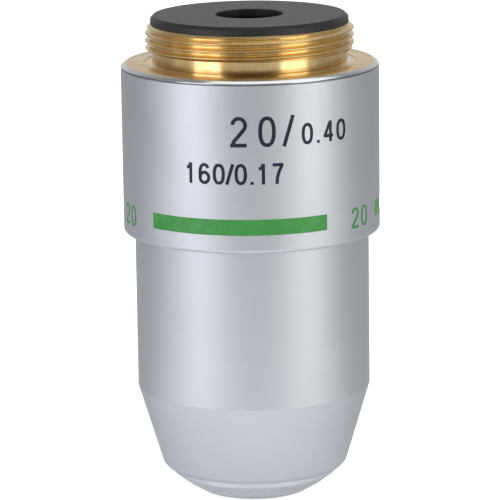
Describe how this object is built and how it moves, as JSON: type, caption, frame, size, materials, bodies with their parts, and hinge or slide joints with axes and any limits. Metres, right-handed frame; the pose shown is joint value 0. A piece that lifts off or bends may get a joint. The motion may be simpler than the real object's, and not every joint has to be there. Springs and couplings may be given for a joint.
{
  "type": "microscope objective",
  "caption": "Microscope objective with a brass mounting thread, black rear ring, satin chrome sleeve with colour bands, conical lower barrel and a spring-loaded lens nose.",
  "frame": {"origin": "optical axis in the plane of the mounting shoulder", "axes": "+Z along the optical axis towards the eyepiece and the thread, front lens at the bottom; the engraved side faces -Y"},
  "size_m": [0.025, 0.025, 0.0472],
  "materials": {
    "brass": "turned and polished",
    "blackened_brass": "blackened",
    "black_anodised": "matt black anodised",
    "satin_chrome": "fine satin",
    "polished_chrome": "polished",
    "green_enamel": "semi-gloss enamel",
    "steel": "turned",
    "spring_steel": "drawn wire",
    "black_paint": "matt black",
    "crown_glass": "polished, coated",
    "flint_glass": "polished, coated"
  },
  "bodies": {
    "housing": {"mount_body": "brass", "rear_stop_ring": "black_anodised", "engraved_sleeve": "satin_chrome", "band_paint": "green_enamel", "lower_barrel": "satin_chrome", "parfocal_shim": "brass", "guide_screw": "steel", "return_spring": "spring_steel"},
    "lens_unit": {"lens_barrel": "polished_chrome", "centring_screws": "steel", "front_cell": "polished_chrome", "front_lens": "crown_glass", "lower_cell": "black_anodised", "lower_crown_lens": "crown_glass", "lower_flint_lens": "flint_glass", "lower_spacer": "black_anodised", "middle_cell": "black_anodised", "middle_crown_lens": "crown_glass", "middle_flint_lens": "flint_glass", "aperture_stop": "black_paint", "upper_spacer": "black_anodised", "rear_cell": "black_anodised", "rear_crown_lens": "crown_glass", "rear_flint_lens": "flint_glass", "retaining_ring": "blackened_brass"}
  },
  "joints": [
    {"name": "nose_retract", "type": "slide", "parent": "housing", "child": "lens_unit", "axis": [0, 0, 1], "range_m": [0, 0.0018], "stiffness_N_per_m": 210, "springref_m": -0.006, "deforming": ["return_spring"]}
  ]
}
